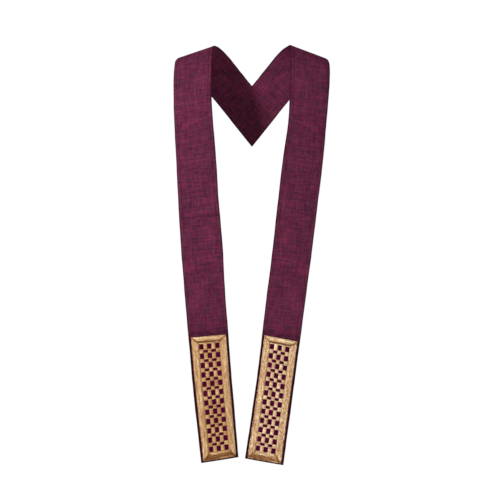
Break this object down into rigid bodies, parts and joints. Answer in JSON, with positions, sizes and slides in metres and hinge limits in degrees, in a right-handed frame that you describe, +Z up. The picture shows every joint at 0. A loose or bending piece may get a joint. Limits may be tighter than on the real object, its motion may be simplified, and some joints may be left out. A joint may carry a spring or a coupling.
{
  "type": "clerical stole",
  "caption": "Priest's stole as worn: two long bands hang from the shoulders, meet in a V at the back, and carry a gold framed check at each end.",
  "frame": {"origin": "on the wearer's middle plane, level with the places where the bands' inner edges cross the tops of the shoulders", "axes": "+Z up, -Y the way the wearer faces, +X towards the wearer's left arm"},
  "size_m": [0.4001, 0.2604, 1.0725],
  "materials": {
    "purple_cloth": "slub weave of plum and slate threads, low sheen",
    "gold_frame": "padded satin stitch in gold rayon thread",
    "gold_check": "flat satin stitch in gold rayon thread"
  },
  "bodies": {
    "root": {"band_right": "purple_cloth", "band_left": "purple_cloth", "frame_right": "gold_frame", "frame_left": "gold_frame", "check_right": "gold_check", "check_left": "gold_check"}
  },
  "joints": []
}
